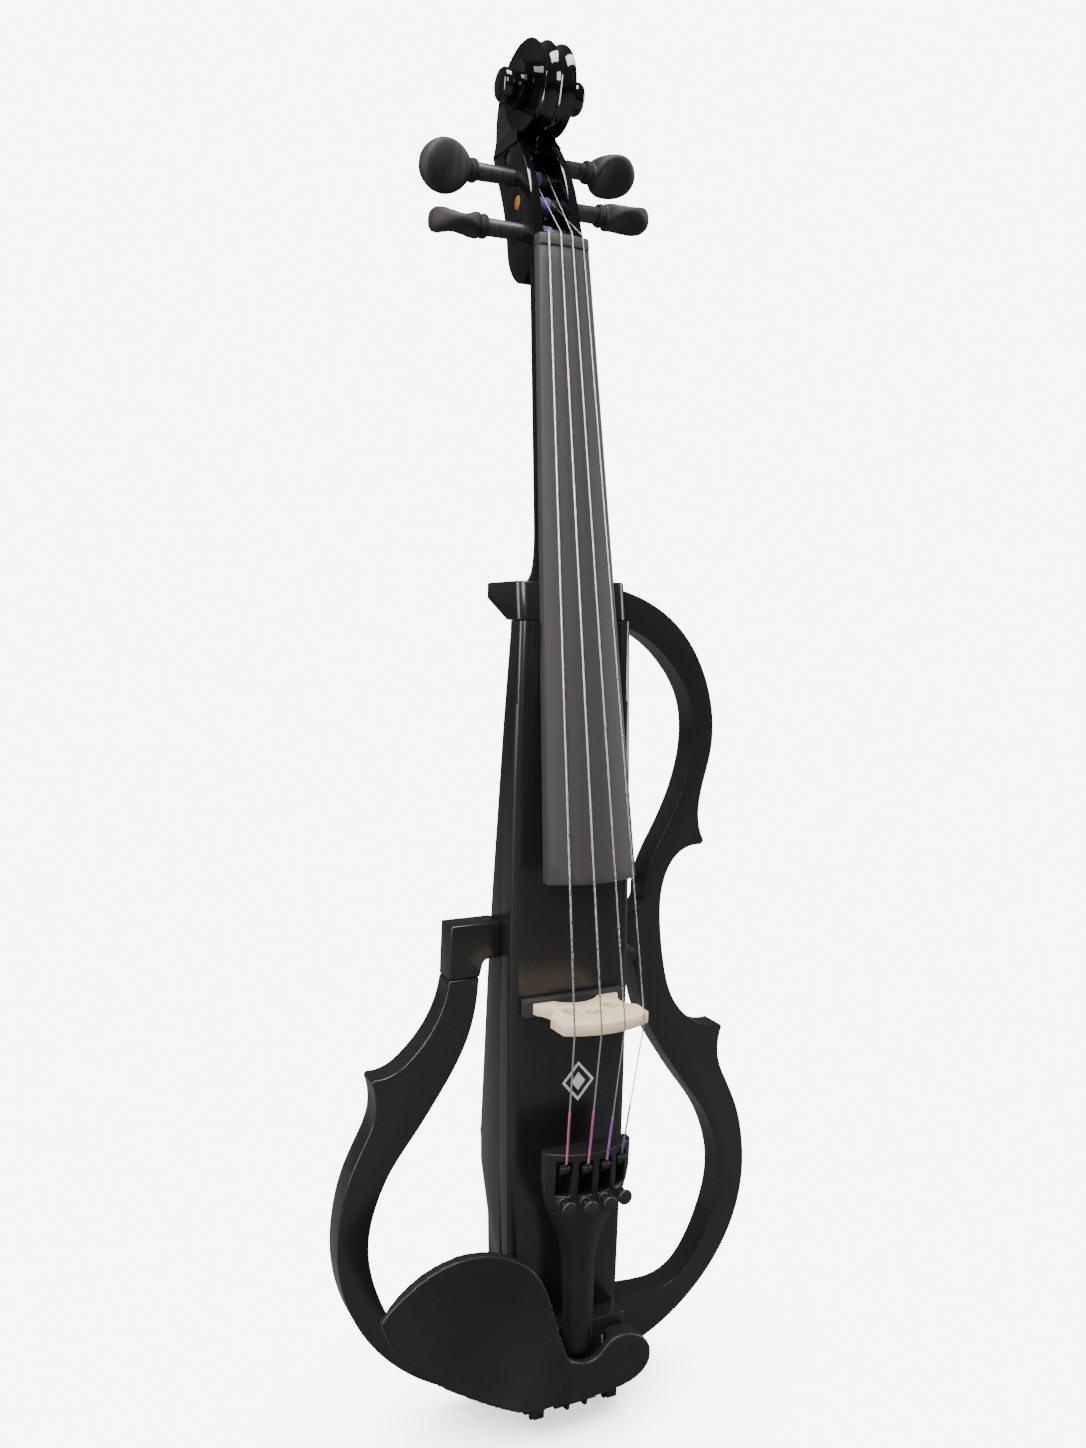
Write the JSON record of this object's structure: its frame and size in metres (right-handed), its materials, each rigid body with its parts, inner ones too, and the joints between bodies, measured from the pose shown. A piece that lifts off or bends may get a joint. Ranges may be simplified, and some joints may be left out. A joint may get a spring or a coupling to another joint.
{
  "type": "electric violin",
  "caption": "Full-size open-frame electric violin with pegs, fingerboard, bridge pickup, fine-tuner tailpiece, chinrest and controls on the back.",
  "frame": {"origin": "centre of the neck 12 mm below the nut, where a hanger yoke carries it", "axes": "+Z towards the scroll, -Y out of the playing side, +X towards the treble side"},
  "size_m": [0.2076, 0.1154, 0.6115],
  "materials": {
    "battery_case": "printed steel jacket without marks",
    "black_lacquer": "high gloss black lacquer over wood",
    "black_metal": "black oxide",
    "brass": "bare",
    "chinrest_black": "satin black",
    "circuit_board": "green solder mask",
    "clamp_nickel": "nickel plated",
    "component_steel": "potentiometer cases",
    "control_plastic": "black",
    "cork": "fine cork",
    "ebonised_board": "satin ebonised fingerboard",
    "ebony": "satin black ebony",
    "frame_lacquer": "high gloss black lacquer",
    "jack_nickel": "nickel plated",
    "maple": "bare pale maple",
    "neck_lacquer": "high gloss black lacquer",
    "nylon": "black cord",
    "pickup_black": "satin black",
    "screw_steel": "black zinc",
    "string_steel": "wound and plain steel",
    "tailpiece_black": "satin black",
    "tray_plastic": "moulded"
  },
  "bodies": {
    "violin": {"bass_bracket": "frame_lacquer", "bass_frame": "frame_lacquer", "battery": "battery_case", "battery_tray": "tray_plastic", "body_core": "black_lacquer", "bridge": "maple", "chinrest": "chinrest_black", "chinrest_brackets": "clamp_nickel", "chinrest_corks": "cork", "control_cases": "component_steel", "cover_screws": "screw_steel", "end_block": "black_lacquer", "end_button": "ebony", "fingerboard": "ebonised_board", "headphone_jack": "jack_nickel", "heel_block": "black_lacquer", "lever_pins": "black_metal", "neck": "neck_lacquer", "nut": "ebonised_board", "output_jack": "jack_nickel", "pickup_bar": "pickup_black", "preamp_board": "circuit_board", "rear_shell": "black_lacquer", "saddle": "ebonised_board", "scroll": "neck_lacquer", "string_a": "string_steel", "string_d": "string_steel", "string_e": "string_steel", "string_g": "string_steel", "tailgut": "nylon", "tailpiece": "tailpiece_black", "treble_frame": "frame_lacquer"},
    "door": {"battery_door": "black_lacquer"},
    "volume": {"volume_knob": "control_plastic"},
    "tone": {"tone_knob": "control_plastic"},
    "switch": {"power_switch": "control_plastic"},
    "peg_g_body": {"peg_g": "ebony"},
    "screw_tip_g_body": {"screw_tip_g": "black_metal"},
    "tuner_screw_g_body": {"tuner_screw_g": "black_metal"},
    "lever_g_body": {"lever_g": "black_metal", "ball_end_g": "brass"},
    "peg_d_body": {"peg_d": "ebony"},
    "screw_tip_d_body": {"screw_tip_d": "black_metal"},
    "tuner_screw_d_body": {"tuner_screw_d": "black_metal"},
    "lever_d_body": {"lever_d": "black_metal", "ball_end_d": "brass"},
    "peg_a_body": {"peg_a": "ebony"},
    "screw_tip_a_body": {"screw_tip_a": "black_metal"},
    "tuner_screw_a_body": {"tuner_screw_a": "black_metal"},
    "lever_a_body": {"lever_a": "black_metal", "ball_end_a": "brass"},
    "peg_e_body": {"peg_e": "ebony"},
    "screw_tip_e_body": {"screw_tip_e": "black_metal"},
    "tuner_screw_e_body": {"tuner_screw_e": "black_metal"},
    "lever_e_body": {"lever_e": "black_metal", "ball_end_e": "brass"},
    "barrel_bass": {"clamp_barrel_bass": "clamp_nickel"},
    "barrel_treble": {"clamp_barrel_treble": "clamp_nickel"},
    "foot": {"clamp_foot": "clamp_nickel", "clamp_cork": "cork"}
  },
  "joints": [
    {"name": "door_hinge", "type": "hinge", "parent": "violin", "child": "door", "pos_m": [0, -0.00056, -0.376], "axis": [-1, 0, 0], "range_deg": [0, 95]},
    {"name": "volume_turn", "type": "hinge", "parent": "violin", "child": "volume", "pos_m": [-0.018, 0.0013, -0.39], "axis": [0, 1, 0], "range_deg": [-150, 150]},
    {"name": "tone_turn", "type": "hinge", "parent": "violin", "child": "tone", "pos_m": [0.018, 0.0013, -0.39], "axis": [0, 1, 0], "range_deg": [-150, 150]},
    {"name": "switch_slide", "type": "slide", "parent": "violin", "child": "switch", "axis": [0, 0, 1], "range_m": [0, 0.0045]},
    {"name": "peg_g_turn", "type": "hinge", "parent": "violin", "child": "peg_g_body", "pos_m": [0, 0.008, 0.0213], "axis": [-1, 0, 0], "continuous": true},
    {"name": "peg_d_turn", "type": "hinge", "parent": "violin", "child": "peg_d_body", "pos_m": [0, 0.0202, 0.048], "axis": [-1, 0, 0], "continuous": true},
    {"name": "peg_a_turn", "type": "hinge", "parent": "violin", "child": "peg_a_body", "pos_m": [0, 0.0272, 0.0583], "axis": [1, 0, 0], "continuous": true},
    {"name": "peg_e_turn", "type": "hinge", "parent": "violin", "child": "peg_e_body", "pos_m": [0, 0.0136, 0.0354], "axis": [1, 0, 0], "continuous": true},
    {"name": "screw_feed_g", "type": "slide", "parent": "violin", "child": "screw_tip_g_body", "axis": [0, 1, 0], "range_m": [-0.0007, 0.0007]},
    {"name": "screw_turn_g", "type": "hinge", "parent": "screw_tip_g_body", "child": "tuner_screw_g_body", "pos_m": [-0.01365, -0.0532, -0.3975], "axis": [0, 1, 0], "range_deg": [-361, 361]},
    {"name": "lever_rock_g", "type": "hinge", "parent": "violin", "child": "lever_g_body", "pos_m": [-0.01365, -0.047, -0.387], "axis": [1, 0, 0], "range_deg": [-4, 4]},
    {"name": "screw_feed_d", "type": "slide", "parent": "violin", "child": "screw_tip_d_body", "axis": [0, 1, 0], "range_m": [-0.0007, 0.0007]},
    {"name": "screw_turn_d", "type": "hinge", "parent": "screw_tip_d_body", "child": "tuner_screw_d_body", "pos_m": [-0.00455, -0.0559, -0.3975], "axis": [0, 1, 0], "range_deg": [-361, 361]},
    {"name": "lever_rock_d", "type": "hinge", "parent": "violin", "child": "lever_d_body", "pos_m": [-0.00455, -0.0497, -0.387], "axis": [1, 0, 0], "range_deg": [-4, 4]},
    {"name": "screw_feed_a", "type": "slide", "parent": "violin", "child": "screw_tip_a_body", "axis": [0, 1, 0], "range_m": [-0.0007, 0.0007]},
    {"name": "screw_turn_a", "type": "hinge", "parent": "screw_tip_a_body", "child": "tuner_screw_a_body", "pos_m": [0.00455, -0.0559, -0.3975], "axis": [0, 1, 0], "range_deg": [-361, 361]},
    {"name": "lever_rock_a", "type": "hinge", "parent": "violin", "child": "lever_a_body", "pos_m": [0.00455, -0.0497, -0.387], "axis": [1, 0, 0], "range_deg": [-4, 4]},
    {"name": "screw_feed_e", "type": "slide", "parent": "violin", "child": "screw_tip_e_body", "axis": [0, 1, 0], "range_m": [-0.0007, 0.0007]},
    {"name": "screw_turn_e", "type": "hinge", "parent": "screw_tip_e_body", "child": "tuner_screw_e_body", "pos_m": [0.01365, -0.0532, -0.3975], "axis": [0, 1, 0], "range_deg": [-361, 361]},
    {"name": "lever_rock_e", "type": "hinge", "parent": "violin", "child": "lever_e_body", "pos_m": [0.01365, -0.047, -0.387], "axis": [1, 0, 0], "range_deg": [-4, 4]},
    {"name": "barrel_turn_bass", "type": "hinge", "parent": "violin", "child": "barrel_bass", "pos_m": [-0.0185, -0.02, -0.5028], "axis": [0, 1, 0], "range_deg": [0, 675]},
    {"name": "barrel_turn_treble", "type": "hinge", "parent": "violin", "child": "barrel_treble", "pos_m": [0.0185, -0.02, -0.5028], "axis": [0, 1, 0], "range_deg": [0, 675]},
    {"name": "foot_slide", "type": "slide", "parent": "violin", "child": "foot", "axis": [0, 1, 0], "range_m": [0, 0.003]}
  ],
  "couplings": [
    {"joint": "screw_turn_g", "follows": "screw_feed_g", "rad_per_m": 8976},
    {"joint": "lever_rock_g", "follows": "screw_feed_g", "rad_per_m": 95.238},
    {"joint": "screw_turn_d", "follows": "screw_feed_d", "rad_per_m": 8976},
    {"joint": "lever_rock_d", "follows": "screw_feed_d", "rad_per_m": 95.238},
    {"joint": "screw_turn_a", "follows": "screw_feed_a", "rad_per_m": 8976},
    {"joint": "lever_rock_a", "follows": "screw_feed_a", "rad_per_m": 95.238},
    {"joint": "screw_turn_e", "follows": "screw_feed_e", "rad_per_m": 8976},
    {"joint": "lever_rock_e", "follows": "screw_feed_e", "rad_per_m": 95.238},
    {"joint": "barrel_turn_bass", "follows": "foot_slide", "rad_per_m": 3921.6},
    {"joint": "barrel_turn_treble", "follows": "foot_slide", "rad_per_m": 3921.6}
  ]
}
